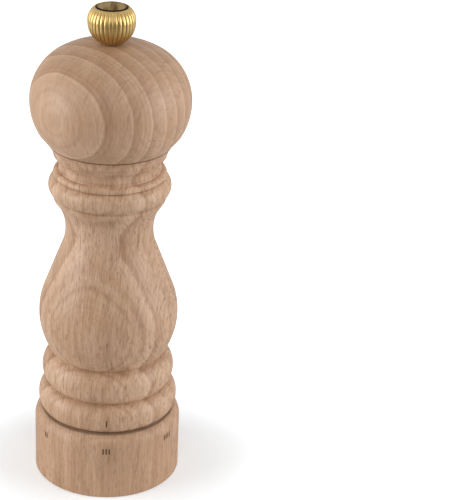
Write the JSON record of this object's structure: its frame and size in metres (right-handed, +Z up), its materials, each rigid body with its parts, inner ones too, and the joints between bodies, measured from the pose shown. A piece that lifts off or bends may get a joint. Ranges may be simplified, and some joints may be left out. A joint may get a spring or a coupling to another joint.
{
  "type": "pepper mill",
  "caption": "Turned wooden pepper mill with a ball head, a fluted metal knob and a turning base ring that sets the grind of its steel burrs.",
  "frame": {"origin": "centre of the base ring's foot, on the mill's axis", "axes": "+Z up along the axis the head turns about; -Y faces the front, where the grind marks are read"},
  "size_m": [0.0566, 0.0566, 0.18],
  "materials": {
    "beech": "bare turned beech, satin",
    "brass": "polished, clear coated",
    "brass_fitting": "turned",
    "black_ring": "gloss black",
    "cap_metal": "polished, slightly domed",
    "burr_steel": "case-hardened, dark grey",
    "shaft_steel": "drawn steel",
    "plate_steel": "zinc plated",
    "screw_steel": "zinc plated",
    "spring_steel": "oiled",
    "black_nylon": "moulded",
    "white_nylon": "moulded"
  },
  "bodies": {
    "body": {"turned_body": "beech", "mechanism_housing": "black_nylon", "housing_screws": "screw_steel", "lower_bridge": "plate_steel", "upper_bridge": "plate_steel", "base_retaining_ring": "spring_steel", "detent_spring": "spring_steel", "detent_rivets": "brass_fitting", "stator_spring": "spring_steel"},
    "base": {"base_ring": "beech", "adjuster_ring": "black_nylon", "adjuster_screws": "screw_steel"},
    "stator": {"stator_burr": "burr_steel", "stator_carrier": "white_nylon", "follower_pins": "shaft_steel"},
    "shaft": {"drive_shaft": "shaft_steel", "thrust_washer": "plate_steel", "rotor_burr": "burr_steel", "rotor_washer": "plate_steel", "rotor_nut": "screw_steel"},
    "head": {"head_ball": "beech", "head_bush": "brass_fitting", "drive_plate": "plate_steel", "drive_plate_screws": "screw_steel"},
    "knob_lift": {"knob_washer": "black_nylon"},
    "knob": {"knob_shell": "brass", "knob_thread_insert": "brass_fitting", "knob_cap_ring": "black_ring", "knob_cap_disc": "cap_metal"}
  },
  "joints": [
    {"name": "base_turn", "type": "hinge", "parent": "body", "child": "base", "pos_m": [0, 0, 0.018], "axis": [0, 0, 1], "range_deg": [-166.6, 111.1], "deforming": ["detent_spring"]},
    {"name": "stator_lift", "type": "slide", "parent": "body", "child": "stator", "axis": [0, 0, 1], "range_m": [-0.00074, 0.00111], "deforming": ["stator_spring"]},
    {"name": "head_turn", "type": "hinge", "parent": "body", "child": "shaft", "pos_m": [0, 0, 0.04], "axis": [0, 0, 1], "continuous": true},
    {"name": "head_lift", "type": "slide", "parent": "shaft", "child": "head", "axis": [0, 0, 1], "range_m": [0, 0.06]},
    {"name": "knob_rise", "type": "slide", "parent": "head", "child": "knob_lift", "axis": [0, 0, 1], "range_m": [0, 0.0064]},
    {"name": "knob_screw", "type": "hinge", "parent": "knob_lift", "child": "knob", "pos_m": [0, 0, 0.1733], "axis": [0, 0, 1], "range_deg": [0, 2880.1]}
  ],
  "couplings": [
    {"joint": "base_turn", "follows": "stator_lift", "rad_per_m": -2618},
    {"joint": "knob_screw", "follows": "knob_rise", "rad_per_m": 7854}
  ]
}
